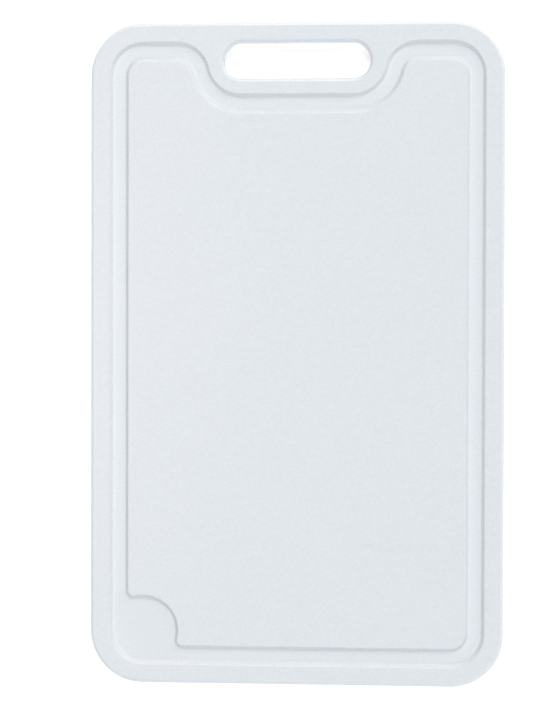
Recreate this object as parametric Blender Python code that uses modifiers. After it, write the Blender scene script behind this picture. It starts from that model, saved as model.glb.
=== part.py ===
"""Moulded plastic cutting board with a handle slot, a juice groove and a corner juice well.

The board is one moulding. It lies on its back, with the cutting face up:
origin at the centre of the underside, +X to the right, +Y towards the handle slot, +Z up.
"""

import math

import bmesh
import bpy

# Driving dimensions, in metres.
BOARD_WIDTH = 0.250
BOARD_LENGTH = 0.400
BOARD_THICKNESS = 0.010
CORNER_RADIUS = 0.032
EDGE_ROUND = 0.0025

SLOT_LENGTH = 0.0885
SLOT_HEIGHT = 0.0215
SLOT_CENTRE_FROM_END = 0.023

GROOVE_MARGIN = 0.0115
GROOVE_WIDTH = 0.0117
GROOVE_DEPTH = 0.0026
GROOVE_FLOOR_ROUND = 0.002
GROOVE_LIP_ROUND = 0.0005
SLOT_TO_GROOVE = 0.0093

WELL_RADIUS = 0.0218
WELL_CORNER_ROUND = 0.003

PLASTIC_COLOUR = (0.78, 0.81, 0.84, 1.0)
PLASTIC_ROUGHNESS = 0.5

# How finely round stretches are drawn.
ARC_STEP = math.radians(7.5)
EDGE_ROUND_SEGMENTS = 6
FLOOR_ROUND_SEGMENTS = 4
LIP_ROUND_SEGMENTS = 2
LIP_ANGLE = math.radians(50)
FLAT_ANGLE = math.radians(0.5)

# What follows from the driving dimensions.
HALF_WIDTH = BOARD_WIDTH / 2
HALF_LENGTH = BOARD_LENGTH / 2
CORNER_X = HALF_WIDTH - CORNER_RADIUS
CORNER_Y = HALF_LENGTH - CORNER_RADIUS
SLOT_RADIUS = SLOT_HEIGHT / 2
SLOT_END_X = SLOT_LENGTH / 2 - SLOT_RADIUS
SLOT_Y = HALF_LENGTH - SLOT_CENTRE_FROM_END


def arc(centre, radius, start_degrees, end_degrees):
    """Points along an arc, both ends included, running from start to end."""
    start = math.radians(start_degrees)
    turn = math.radians(end_degrees) - start
    steps = max(2, math.ceil(abs(turn) / ARC_STEP))
    points = []
    for i in range(steps + 1):
        angle = start + turn * i / steps
        points.append((centre[0] + radius * math.cos(angle), centre[1] + radius * math.sin(angle)))
    return points


def board_outline():
    """The board's edge seen from above: a rectangle with round corners, anticlockwise."""
    return (
        arc((CORNER_X, CORNER_Y), CORNER_RADIUS, 0, 90)
        + arc((-CORNER_X, CORNER_Y), CORNER_RADIUS, 90, 180)
        + arc((-CORNER_X, -CORNER_Y), CORNER_RADIUS, 180, 270)
        + arc((CORNER_X, -CORNER_Y), CORNER_RADIUS, 270, 360)
    )


def slot_outline():
    """The handle slot: two half rounds joined by straight sides."""
    return arc((SLOT_END_X, SLOT_Y), SLOT_RADIUS, -90, 90) + arc((-SLOT_END_X, SLOT_Y), SLOT_RADIUS, 90, 270)


def handle_dip(corner_round, dip_round):
    """The groove's edge from right to left past the handle: it runs round the slot in two S curves.

    corner_round turns it down from the top run, and dip_round, centred on the slot's round end, turns
    it back along the slot. The two arcs of each S touch, whatever the offset of this edge.
    """
    drop = SLOT_Y - CORNER_Y
    reach = corner_round + dip_round
    shoulder_x = SLOT_END_X + math.sqrt(reach * reach - drop * drop)
    meet = math.degrees(math.atan2(drop, SLOT_END_X - shoulder_x))
    return (
        arc((shoulder_x, CORNER_Y), corner_round, 90, meet)
        + arc((SLOT_END_X, SLOT_Y), dip_round, meet - 180, -90)
        + arc((-SLOT_END_X, SLOT_Y), dip_round, -90, -meet)
        + arc((-shoulder_x, CORNER_Y), corner_round, 180 - meet, 90)
    )


def groove_outer_edge():
    """The lip between the rim and the groove, anticlockwise. Its corners share the board's corner centres."""
    corner = CORNER_RADIUS - GROOVE_MARGIN
    dip = SLOT_RADIUS + SLOT_TO_GROOVE
    return (
        arc((CORNER_X, CORNER_Y), corner, 0, 90)
        + handle_dip(corner, dip)
        + arc((-CORNER_X, CORNER_Y), corner, 90, 180)
        + arc((-CORNER_X, -CORNER_Y), corner, 180, 270)
        + arc((CORNER_X, -CORNER_Y), corner, 270, 360)
    )


def well_edge(panel_corner):
    """The panel's edge round the juice well, from its left side to its near side.

    The well is a circle about the board's corner centre, and a small round eases each of the two
    corners where it cuts into the panel's straight sides.
    """
    side = panel_corner
    reach = WELL_RADIUS + WELL_CORNER_ROUND
    inset = side - WELL_CORNER_ROUND
    along = math.sqrt(reach * reach - inset * inset)
    touch = math.degrees(math.atan2(along, -inset))
    return (
        arc((-CORNER_X - inset, -CORNER_Y + along), WELL_CORNER_ROUND, 180, touch + 180)
        + arc((-CORNER_X, -CORNER_Y), WELL_RADIUS, touch, 90 - touch)
        + arc((-CORNER_X + along, -CORNER_Y - inset), WELL_CORNER_ROUND, 270 - touch, 270)
    )


def panel_edge():
    """The lip between the groove and the cutting panel, anticlockwise."""
    corner = CORNER_RADIUS - GROOVE_MARGIN - GROOVE_WIDTH
    dip = SLOT_RADIUS + SLOT_TO_GROOVE + GROOVE_WIDTH
    return (
        arc((CORNER_X, CORNER_Y), corner, 0, 90)
        + handle_dip(corner, dip)
        + arc((-CORNER_X, CORNER_Y), corner, 90, 180)
        + well_edge(corner)
        + arc((CORNER_X, -CORNER_Y), corner, 270, 360)
    )


def plastic():
    """White plastic with a slightly cool tint and a fine matte grain."""
    material = bpy.data.materials.new("board_plastic")
    material.use_nodes = True
    shader = material.node_tree.nodes["Principled BSDF"]
    shader.inputs["Base Color"].default_value = PLASTIC_COLOUR
    shader.inputs["Roughness"].default_value = PLASTIC_ROUGHNESS
    shader.inputs["Metallic"].default_value = 0.0
    return material


def collection(name):
    made = bpy.data.collections.new(name)
    bpy.context.scene.collection.children.link(made)
    return made


def rounded_slab(name, outlines, low, high, edge_round, segments, into):
    """A solid between two heights with the given outlines, inner ones being holes, and round edges.

    It is a filled 2D curve whose bevel is taken off the inside, then a mesh with its caps welded.
    """
    curve = bpy.data.curves.new(name, "CURVE")
    curve.dimensions = "2D"
    curve.fill_mode = "BOTH"
    for outline in outlines:
        spline = curve.splines.new("POLY")
        spline.points.add(len(outline) - 1)
        for point, (x, y) in zip(spline.points, outline):
            point.co = (x, y, 0.0, 1.0)
        spline.use_cyclic_u = True
    curve.extrude = (high - low) / 2 - edge_round
    curve.bevel_depth = edge_round
    curve.bevel_resolution = segments - 1
    curve.offset = -edge_round
    shape = bpy.data.objects.new(name + "_outline", curve)
    shape.location.z = (high + low) / 2
    into.objects.link(shape)
    bpy.context.view_layer.update()

    evaluated = shape.evaluated_get(bpy.context.evaluated_depsgraph_get())
    mesh = bpy.data.meshes.new_from_object(evaluated)
    bm = bmesh.new()
    bm.from_mesh(mesh)
    bmesh.ops.remove_doubles(bm, verts=bm.verts, dist=1e-6)
    bmesh.ops.recalc_face_normals(bm, faces=bm.faces)
    bm.to_mesh(mesh)
    bm.free()
    mesh.name = name

    solid = bpy.data.objects.new(name, mesh)
    solid.matrix_world = shape.matrix_world
    into.objects.link(solid)
    bpy.data.objects.remove(shape)
    return solid


def without_repeats(outline):
    """The outline without the double points where two stretches meet."""
    kept = []
    for point in outline:
        if not kept or math.dist(point, kept[-1]) > 1e-6:
            kept.append(point)
    if math.dist(kept[0], kept[-1]) < 1e-6:
        kept.pop()
    return kept


def make_board(parts, cutters):
    board = rounded_slab(
        "board",
        [without_repeats(board_outline()), without_repeats(slot_outline())],
        0.0,
        BOARD_THICKNESS,
        EDGE_ROUND,
        EDGE_ROUND_SEGMENTS,
        parts,
    )
    board.data.materials.append(plastic())

    # The cutter reaches as far above the cutting face as the groove goes below it.
    groove = rounded_slab(
        "groove_cutter",
        [without_repeats(groove_outer_edge()), without_repeats(panel_edge())],
        BOARD_THICKNESS - GROOVE_DEPTH,
        BOARD_THICKNESS + GROOVE_DEPTH,
        GROOVE_FLOOR_ROUND,
        FLOOR_ROUND_SEGMENTS,
        cutters,
    )
    groove.hide_render = True
    groove.display_type = "WIRE"

    cut = board.modifiers.new("juice_groove", "BOOLEAN")
    cut.operation = "DIFFERENCE"
    cut.object = groove

    tidy = board.modifiers.new("join_flat_faces", "DECIMATE")
    tidy.decimate_type = "DISSOLVE"
    tidy.angle_limit = FLAT_ANGLE

    ease = board.modifiers.new("groove_lips", "BEVEL")
    ease.width = GROOVE_LIP_ROUND
    ease.segments = LIP_ROUND_SEGMENTS
    ease.limit_method = "ANGLE"
    ease.angle_limit = LIP_ANGLE
    ease.use_clamp_overlap = False

    board.data.shade_smooth()
    board.data.set_sharp_from_angle(angle=LIP_ANGLE)
    return board


def main():
    for old in list(bpy.data.objects):
        bpy.data.objects.remove(old)
    make_board(collection("cutting_board"), collection("cutters"))


main()
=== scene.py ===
"""Looks for the moulded plastic cutting board.

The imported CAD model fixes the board's size and place. This script stands a finer surface in for the
faceted solid, with true rounds, drafted groove walls and a slightly dished groove floor. It then adds
the plastic, a pale floor, soft studio light and the camera. All sizes are in metres.
"""

import math

import bmesh
import bpy
from mathutils import Euler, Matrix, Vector


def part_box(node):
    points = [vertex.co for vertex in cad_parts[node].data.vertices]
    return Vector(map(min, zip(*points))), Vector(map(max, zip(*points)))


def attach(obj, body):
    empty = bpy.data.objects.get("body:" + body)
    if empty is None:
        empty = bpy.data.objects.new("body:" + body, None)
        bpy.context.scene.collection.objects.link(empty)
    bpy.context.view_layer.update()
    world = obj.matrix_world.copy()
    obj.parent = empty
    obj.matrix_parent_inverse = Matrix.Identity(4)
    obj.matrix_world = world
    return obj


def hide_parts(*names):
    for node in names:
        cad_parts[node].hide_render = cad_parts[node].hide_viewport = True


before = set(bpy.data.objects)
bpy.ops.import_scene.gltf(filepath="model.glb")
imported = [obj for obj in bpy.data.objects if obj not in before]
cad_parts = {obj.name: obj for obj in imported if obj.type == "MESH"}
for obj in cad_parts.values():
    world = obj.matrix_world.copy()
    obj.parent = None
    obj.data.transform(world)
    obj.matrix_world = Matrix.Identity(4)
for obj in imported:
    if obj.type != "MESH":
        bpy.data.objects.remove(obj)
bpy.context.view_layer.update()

MM = 0.001
BOARD_NODE = "board"
PLASTIC_SLOT = "white_polyethylene"
LOW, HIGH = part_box(BOARD_NODE)
TOP = HIGH.z
BASE = LOW.z

# The board seen from above. Corners, groove and dip are arcs about shared centres.
CORNER_RADIUS = 32 * MM
CORNER_X = HIGH.x - CORNER_RADIUS
CORNER_Y = HIGH.y - CORNER_RADIUS
SLOT_RADIUS = 10.75 * MM
SLOT_END_X = 33.5 * MM
SLOT_Y = HIGH.y - 23 * MM
GROOVE_NEAR = 11.5 * MM
GROOVE_FAR = 23.2 * MM
GROOVE_MIDDLE = (GROOVE_NEAR + GROOVE_FAR) / 2
SLOT_TO_GROOVE = 9.3 * MM
WELL_RADIUS = 21.8 * MM
WELL_CORNER_ROUND = 3.0 * MM

# The board's edge, cut through.
EDGE_ROUND = 2.5 * MM
PARTING_LINE_DEPTH = 0.1 * MM
PARTING_LINE_HALF_WIDTH = 0.25 * MM

# The groove, cut through: a rounded lip, a drafted wall, a round foot and a slightly dished floor.
GROOVE_DEPTH = 2.6 * MM
LIP_ROUND = 0.9 * MM
FOOT_ROUND = 0.9 * MM
WALL_SLOPE = math.radians(54)
FLOOR_SLOPE = math.radians(1)

# How finely round stretches are drawn, and how strongly flat faces keep their shading flat.
ARC_STEP = math.radians(3)
EDGE_STEPS = 10
LIP_STEPS = 5
FOOT_STEPS = 6
FLOOR_STEPS = 6
SAME_POINT = 0.001 * MM
FLAT_FACE_WEIGHT = 100

# The plastic. Its tint drifts between two whites, the grain speckles it, and the peel is the faint
# waviness of a moulded face. Soft noise keeps mostly within its usual range.
TINT_COOL = (0.765, 0.803, 0.838, 1)
TINT_WARM = (0.773, 0.809, 0.843, 1)
TINT_DRIFT_SIZE = 60 * MM
GRAIN_SIZE = 1.5 * MM
GRAIN_HEIGHT = 0.02 * MM
SPECKLE = 0.026
PEEL_SIZE = 6 * MM
PEEL_HEIGHT = 0.02 * MM
NOISE_USUAL_LOW = 0.3
NOISE_USUAL_HIGH = 0.7
ROUGHNESS_LOW = 0.30
ROUGHNESS_HIGH = 0.38
PLASTIC_IOR = 1.5
SUBSURFACE = 0.1
SCATTER_LENGTH = 1.0 * MM

# The studio. The floor glows a little, so that it stays white beside the board. Under the board lies
# a dimmer glowing sheet, painted shade of the board on the floor, seen only through the hand slot. The
# room fades from pale to faint between two heights above the horizon, given as sines of the angle up.
WHITE = (1, 1, 1, 1)
FLOOR_SIZE = 12
FLOOR_COLOUR = (0.8, 0.8, 0.8, 1)
FLOOR_ROUGHNESS = 0.9
FLOOR_SHINE = 0.2
FLOOR_GLOW = 0.55
SHADE_SHEET_GLOW = 0.4
SHADE_SHEET_THICKNESS = 0.1 * MM
SHADE_SHEET_MARGIN = 10 * MM
ROOM_GLOW = 0.02
HORIZON_GLOW = 0.9
HORIZON_LOW = 0.1
HORIZON_HIGH = 0.2

# The soft lights: degrees round from +X towards +Y, degrees up from the floor, metres away, metres
# wide, watts, colour.
SOFT_LIGHTS = {
    "window": (90, 47, 6.0, 3.0, 209, (0.94, 0.985, 1.0)),
    "low_window": (46, 25, 6.0, 2.5, 100, (1.0, 0.86, 0.82)),
    "near_wall": (299, 47, 6.0, 3.5, 149, (0.915, 0.985, 1.0)),
    "low_near_wall": (270, 24, 6.0, 2.5, 51, (0.84, 0.935, 1.0)),
    "skylight": (180, 63, 1.55, 0.6, 5.3, (1.0, 0.86, 0.82)),
}

# The camera.
CAMERA_PLACE = (0.0690, 0.0179, 1.2130)
CAMERA_TILT = (math.radians(-1.020), math.radians(4.030), math.radians(0.212))
CAMERA_LENS_MM = 100


# --- Outlines ---------------------------------------------------------------------------------


def arc(centre, radius, start_degrees, end_degrees):
    """Points along an arc, both ends included. The number of points depends on the angle only."""
    start = math.radians(start_degrees)
    turn = math.radians(end_degrees) - start
    steps = max(2, math.ceil(abs(turn) / ARC_STEP))
    points = []
    for i in range(steps + 1):
        angle = start + turn * i / steps
        points.append((centre[0] + radius * math.cos(angle), centre[1] + radius * math.sin(angle)))
    return points


def outline(inset):
    """The board's edge moved in by inset, anticlockwise."""
    radius = CORNER_RADIUS - inset
    return (
        arc((CORNER_X, CORNER_Y), radius, 0, 90)
        + arc((-CORNER_X, CORNER_Y), radius, 90, 180)
        + arc((-CORNER_X, -CORNER_Y), radius, 180, 270)
        + arc((CORNER_X, -CORNER_Y), radius, 270, 360)
    )


def slot(outset):
    """The hand slot's edge moved out by outset, anticlockwise."""
    radius = SLOT_RADIUS + outset
    return arc((SLOT_END_X, SLOT_Y), radius, -90, 90) + arc((-SLOT_END_X, SLOT_Y), radius, 90, 270)


def handle_dip(inset):
    """The far run of a line round the board, from right to left, dipping round the hand slot.

    The first arc of each S curve turns the line down and the second, centred on the slot's round
    end, turns it back along the slot. They touch at the angle called meet.
    """
    shoulder = CORNER_RADIUS - inset
    dip = SLOT_RADIUS + SLOT_TO_GROOVE + inset - GROOVE_NEAR
    drop = SLOT_Y - CORNER_Y
    run = math.sqrt((shoulder + dip) ** 2 - drop**2)
    meet = math.degrees(math.atan2(drop, -run))
    return (
        arc((SLOT_END_X + run, CORNER_Y), shoulder, 90, meet)
        + arc((SLOT_END_X, SLOT_Y), dip, meet - 180, -90)
        + arc((-SLOT_END_X, SLOT_Y), dip, -90, -meet)
        + arc((-SLOT_END_X - run, CORNER_Y), shoulder, 180 - meet, 90)
    )


def shared_run(inset):
    """The part of a groove line that both sides of the groove follow: everything but the well."""
    radius = CORNER_RADIUS - inset
    return (
        arc((CORNER_X, -CORNER_Y), radius, 270, 360)
        + arc((CORNER_X, CORNER_Y), radius, 0, 90)
        + handle_dip(inset)
        + arc((-CORNER_X, CORNER_Y), radius, 90, 180)
    )


def well_start():
    """How far along the board's side, from the corner's centre, the well's small corner starts."""
    reach = WELL_RADIUS + WELL_CORNER_ROUND
    across = CORNER_RADIUS - GROOVE_FAR - WELL_CORNER_ROUND
    return math.sqrt(reach**2 - across**2)


def past_the_well(inset):
    """The groove's outer side round the well's corner, from the left side to the near side."""
    radius = CORNER_RADIUS - inset
    along = well_start()
    return (
        [(-CORNER_X - radius, -CORNER_Y + along)]
        + arc((-CORNER_X, -CORNER_Y), radius, 180, 270)
        + [(-CORNER_X + along, -CORNER_Y - radius)]
    )


def round_the_well(inset):
    """The panel's side of the well, from the left side to the near side."""
    back = GROOVE_FAR - inset
    small = WELL_CORNER_ROUND + back
    across = CORNER_RADIUS - GROOVE_FAR - WELL_CORNER_ROUND
    along = well_start()
    touch = math.degrees(math.atan2(along, -across))
    return (
        arc((-CORNER_X - across, -CORNER_Y + along), small, 180, touch + 180)
        + arc((-CORNER_X, -CORNER_Y), WELL_RADIUS - back, touch, 90 - touch)
        + arc((-CORNER_X + along, -CORNER_Y - across), small, 270 - touch, 270)
    )


# --- Cuts through the board -------------------------------------------------------------------


def quarter_round(steps):
    """(inward, down) shares of a round edge, from the flat face to the side wall."""
    shares = []
    for i in range(steps + 1):
        angle = math.pi / 2 * i / steps
        shares.append((1 - math.sin(angle), 1 - math.cos(angle)))
    return shares


def edge_cut():
    """(inset, height) down the board's edge, from the cutting face to the underside."""
    middle = (TOP + BASE) / 2
    shares = quarter_round(EDGE_STEPS)
    upper = [(EDGE_ROUND * inward, TOP - EDGE_ROUND * down) for inward, down in shares]
    line = [
        (0, middle + PARTING_LINE_HALF_WIDTH),
        (PARTING_LINE_DEPTH, middle),
        (0, middle - PARTING_LINE_HALF_WIDTH),
    ]
    lower = [(inset, TOP + BASE - height) for inset, height in reversed(upper)]
    return upper + line + lower


def groove_cut():
    """(distance into the groove from its lip, height), from the face to the middle of the floor.

    The straight wall and the dished floor share what the two rounds leave of the groove's half
    width, across, and of its depth, down. The wall's length and the floor's radius solve
        wall * wall_run  + floor_radius * floor_run  = across
        wall * wall_fall + floor_radius * floor_fall = down
    """
    wall_run = math.cos(WALL_SLOPE)
    wall_fall = math.sin(WALL_SLOPE)
    floor_run = math.sin(FLOOR_SLOPE)
    floor_fall = 1 - math.cos(FLOOR_SLOPE)

    half = GROOVE_MIDDLE - GROOVE_NEAR
    lip_start = -LIP_ROUND * math.tan(WALL_SLOPE / 2)
    across = half - lip_start - LIP_ROUND * wall_fall - FOOT_ROUND * (wall_fall - floor_run)
    down = GROOVE_DEPTH - LIP_ROUND * (1 - wall_run) - FOOT_ROUND * (1 - floor_fall - wall_run)
    share = wall_run * floor_fall - wall_fall * floor_run
    wall = (across * floor_fall - down * floor_run) / share
    floor_radius = (down * wall_run - across * wall_fall) / share

    points = []
    for i in range(LIP_STEPS + 1):
        slope = WALL_SLOPE * i / LIP_STEPS
        points.append((lip_start + LIP_ROUND * math.sin(slope), TOP - LIP_ROUND * (1 - math.cos(slope))))
    distance = points[-1][0] + wall * wall_run
    height = points[-1][1] - wall * wall_fall
    points.append((distance, height))
    for i in range(1, FOOT_STEPS + 1):
        slope = WALL_SLOPE + (FLOOR_SLOPE - WALL_SLOPE) * i / FOOT_STEPS
        points.append(
            (
                distance + FOOT_ROUND * (wall_fall - math.sin(slope)),
                height - FOOT_ROUND * (math.cos(slope) - wall_run),
            )
        )
    for i in range(1, FLOOR_STEPS + 1):
        slope = FLOOR_SLOPE * (1 - i / FLOOR_STEPS)
        points.append(
            (
                half - floor_radius * math.sin(slope),
                TOP - GROOVE_DEPTH + floor_radius * (1 - math.cos(slope)),
            )
        )
    return points


# --- Surface ----------------------------------------------------------------------------------


def ring(bm, points, height):
    """A closed row of vertices at one height, without the double points where stretches meet."""
    kept = []
    for x, y in points:
        if not kept or math.dist((x, y), kept[-1]) > SAME_POINT:
            kept.append((x, y))
    if math.dist(kept[0], kept[-1]) < SAME_POINT:
        kept.pop()
    return [bm.verts.new((x, y, height)) for x, y in kept]


def skin(bm, rows):
    """Quads between neighbouring closed rows."""
    for above, below in zip(rows, rows[1:]):
        for i in range(len(above)):
            bm.faces.new((above[i - 1], above[i], below[i], below[i - 1]))


def fill(bm, rows):
    """A flat face bounded by closed rows, the inner ones being holes."""
    edges = []
    for row in rows:
        edges += [bm.edges.get((row[i - 1], row[i])) for i in range(len(row))]
    bmesh.ops.triangle_fill(bm, edges=edges, use_beauty=True, use_dissolve=False)


def board_surface():
    """The whole board as one closed mesh, lofted from rows that run round it."""
    bm = bmesh.new()

    edge_rows = [ring(bm, outline(inset), height) for inset, height in edge_cut()]
    slot_rows = [ring(bm, slot(outset), height) for outset, height in edge_cut()]
    rim_rows = []
    panel_rows = []
    for distance, height in groove_cut():
        near = GROOVE_NEAR + distance
        far = GROOVE_FAR - distance
        rim_rows.append(ring(bm, shared_run(near) + past_the_well(near), height))
        panel_rows.append(ring(bm, shared_run(far) + round_the_well(far), height))
    for rows in (edge_rows, slot_rows, rim_rows, panel_rows):
        skin(bm, rows)

    fill(bm, [edge_rows[0], slot_rows[0], rim_rows[0]])
    fill(bm, [panel_rows[0]])
    fill(bm, [edge_rows[-1], slot_rows[-1]])

    # The two halves of the groove meet along the middle of its floor. They part round the well, and
    # the hole left there is the flat middle of the well's floor.
    bmesh.ops.remove_doubles(bm, verts=rim_rows[-1] + panel_rows[-1], dist=SAME_POINT)
    bmesh.ops.holes_fill(bm, edges=[edge for edge in bm.edges if edge.is_boundary], sides=0)
    bmesh.ops.recalc_face_normals(bm, faces=bm.faces)

    mesh = bpy.data.meshes.new("board_surface")
    bm.to_mesh(mesh)
    bm.free()
    mesh.shade_smooth()
    return mesh


# --- Plastic ----------------------------------------------------------------------------------


def add_node(tree, kind, **values):
    """A new node, with its settings and unlinked inputs given by name."""
    node = tree.nodes.new(kind)
    for name, value in values.items():
        if hasattr(node, name):
            setattr(node, name, value)
        else:
            node.inputs[name.replace("_", " ")].default_value = value
    return node


def noise(tree, place, size, detail):
    """Soft noise whose blobs are about size metres across, with finer blobs for each detail."""
    node = add_node(tree, "ShaderNodeTexNoise", Scale=1 / size, Detail=detail)
    tree.links.new(place, node.inputs["Vector"])
    return node.outputs["Fac"]


def spread(tree, value, low, high):
    """Noise mapped so that its usual range runs from low to high. Stray noise stops there."""
    node = add_node(tree, "ShaderNodeMapRange", To_Min=low, To_Max=high)
    node.inputs["From Min"].default_value = NOISE_USUAL_LOW
    node.inputs["From Max"].default_value = NOISE_USUAL_HIGH
    tree.links.new(value, node.inputs["Value"])
    return node.outputs["Result"]


def plastic():
    """White polyethylene: a cool tint that drifts a little, and a fine matte mould grain."""
    material = bpy.data.materials.new(PLASTIC_SLOT)
    material.use_nodes = True
    tree = material.node_tree
    shader = tree.nodes["Principled BSDF"]
    place = add_node(tree, "ShaderNodeTexCoord").outputs["Object"]

    drift = noise(tree, place, TINT_DRIFT_SIZE, detail=2)
    grain = noise(tree, place, GRAIN_SIZE, detail=3)
    peel = noise(tree, place, PEEL_SIZE, detail=1)

    tint = add_node(tree, "ShaderNodeMix", data_type="RGBA")
    tint.inputs["A"].default_value = TINT_COOL
    tint.inputs["B"].default_value = TINT_WARM
    tree.links.new(spread(tree, drift, 0, 1), tint.inputs["Factor"])

    speckle = add_node(tree, "ShaderNodeHueSaturation")
    tree.links.new(tint.outputs["Result"], speckle.inputs["Color"])
    tree.links.new(spread(tree, grain, 1 - SPECKLE, 1 + SPECKLE), speckle.inputs["Value"])
    tree.links.new(speckle.outputs["Color"], shader.inputs["Base Color"])

    tree.links.new(spread(tree, grain, ROUGHNESS_LOW, ROUGHNESS_HIGH), shader.inputs["Roughness"])

    broad = add_node(tree, "ShaderNodeBump", Strength=1.0, Distance=PEEL_HEIGHT)
    tree.links.new(peel, broad.inputs["Height"])
    fine = add_node(tree, "ShaderNodeBump", Strength=1.0, Distance=GRAIN_HEIGHT)
    tree.links.new(grain, fine.inputs["Height"])
    tree.links.new(broad.outputs["Normal"], fine.inputs["Normal"])
    tree.links.new(fine.outputs["Normal"], shader.inputs["Normal"])

    shader.inputs["IOR"].default_value = PLASTIC_IOR
    shader.inputs["Subsurface Weight"].default_value = SUBSURFACE
    shader.inputs["Subsurface Radius"].default_value = (1.0, 1.0, 1.0)
    shader.inputs["Subsurface Scale"].default_value = SCATTER_LENGTH
    return material


def make_board():
    """The finished board, which stands for the CAD node and moves with its body."""
    board = bpy.data.objects.new("board_moulding", board_surface())
    bpy.context.scene.collection.objects.link(board)
    normals = board.modifiers.new("flat_faces_stay_flat", "WEIGHTED_NORMAL")
    normals.mode = "FACE_AREA"
    normals.weight = FLAT_FACE_WEIGHT
    board.data.materials.append(plastic())
    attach(board, "root")
    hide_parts(BOARD_NODE)


# --- Studio -----------------------------------------------------------------------------------


def pale_sheet(name, size, height, glow):
    """A level, pale, faintly glowing sheet. Its size is (width, length)."""
    bpy.ops.mesh.primitive_plane_add(size=1, location=(0, 0, height))
    sheet = bpy.context.object
    sheet.name = name
    sheet.scale = (size[0], size[1], 1)
    material = bpy.data.materials.new(name)
    material.use_nodes = True
    shader = material.node_tree.nodes["Principled BSDF"]
    shader.inputs["Base Color"].default_value = FLOOR_COLOUR
    shader.inputs["Roughness"].default_value = FLOOR_ROUGHNESS
    shader.inputs["Specular IOR Level"].default_value = FLOOR_SHINE
    shader.inputs["Emission Color"].default_value = WHITE
    shader.inputs["Emission Strength"].default_value = glow
    sheet.data.materials.append(material)


def make_floor():
    """The floor, and a dimmer sheet under the board: painted shade, which shows only through the hand
    slot.
    """
    shade_sheet_size = (HIGH.x - LOW.x - 2 * SHADE_SHEET_MARGIN, HIGH.y - LOW.y - 2 * SHADE_SHEET_MARGIN)
    # Painted shade: the sheet under the board glows less than the floor, standing in for the board's
    # shadow.
    pale_sheet("painted_shade_sheet", shade_sheet_size, BASE, SHADE_SHEET_GLOW)
    pale_sheet("floor", (FLOOR_SIZE, FLOOR_SIZE), BASE - SHADE_SHEET_THICKNESS, FLOOR_GLOW)


def make_room():
    """A pale horizon behind the floor, fading upwards to a faint even light."""
    world = bpy.data.worlds.new("pale_room")
    world.use_nodes = True
    tree = world.node_tree
    up = add_node(tree, "ShaderNodeSeparateXYZ")
    tree.links.new(add_node(tree, "ShaderNodeTexCoord").outputs["Generated"], up.inputs["Vector"])
    light = add_node(
        tree,
        "ShaderNodeMapRange",
        From_Min=HORIZON_LOW,
        From_Max=HORIZON_HIGH,
        To_Min=HORIZON_GLOW,
        To_Max=ROOM_GLOW,
    )
    tree.links.new(up.outputs["Z"], light.inputs["Value"])
    background = tree.nodes["Background"]
    background.inputs["Color"].default_value = WHITE
    tree.links.new(light.outputs["Result"], background.inputs["Strength"])
    bpy.context.scene.world = world


def softbox(name, light):
    """A square soft light turned to the board's centre."""
    turn, up, distance, size, power, colour = light
    data = bpy.data.lights.new(name, "AREA")
    data.shape = "SQUARE"
    data.size = size
    data.energy = power
    data.color = colour
    lamp = bpy.data.objects.new(name, data)
    towards = Vector((distance, 0, 0))
    towards.rotate(Euler((0, -math.radians(up), math.radians(turn))))
    lamp.location = towards
    lamp.rotation_euler = (-towards).to_track_quat("-Z", "Y").to_euler()
    bpy.context.scene.collection.objects.link(lamp)


def make_camera():
    """The main view: from straight above, a little to the right, with a long lens.

    The camera is turned about Z first, then Y, then X.
    """
    data = bpy.data.cameras.new("camera")
    data.lens = CAMERA_LENS_MM
    camera = bpy.data.objects.new("camera", data)
    camera.location = CAMERA_PLACE
    camera.rotation_euler = Euler(CAMERA_TILT, "ZYX").to_matrix().to_euler()
    bpy.context.scene.collection.objects.link(camera)
    bpy.context.scene.camera = camera


make_camera()
make_board()
make_floor()
make_room()
for name, light in SOFT_LIGHTS.items():
    softbox(name, light)
bpy.context.scene.view_settings.view_transform = "Standard"
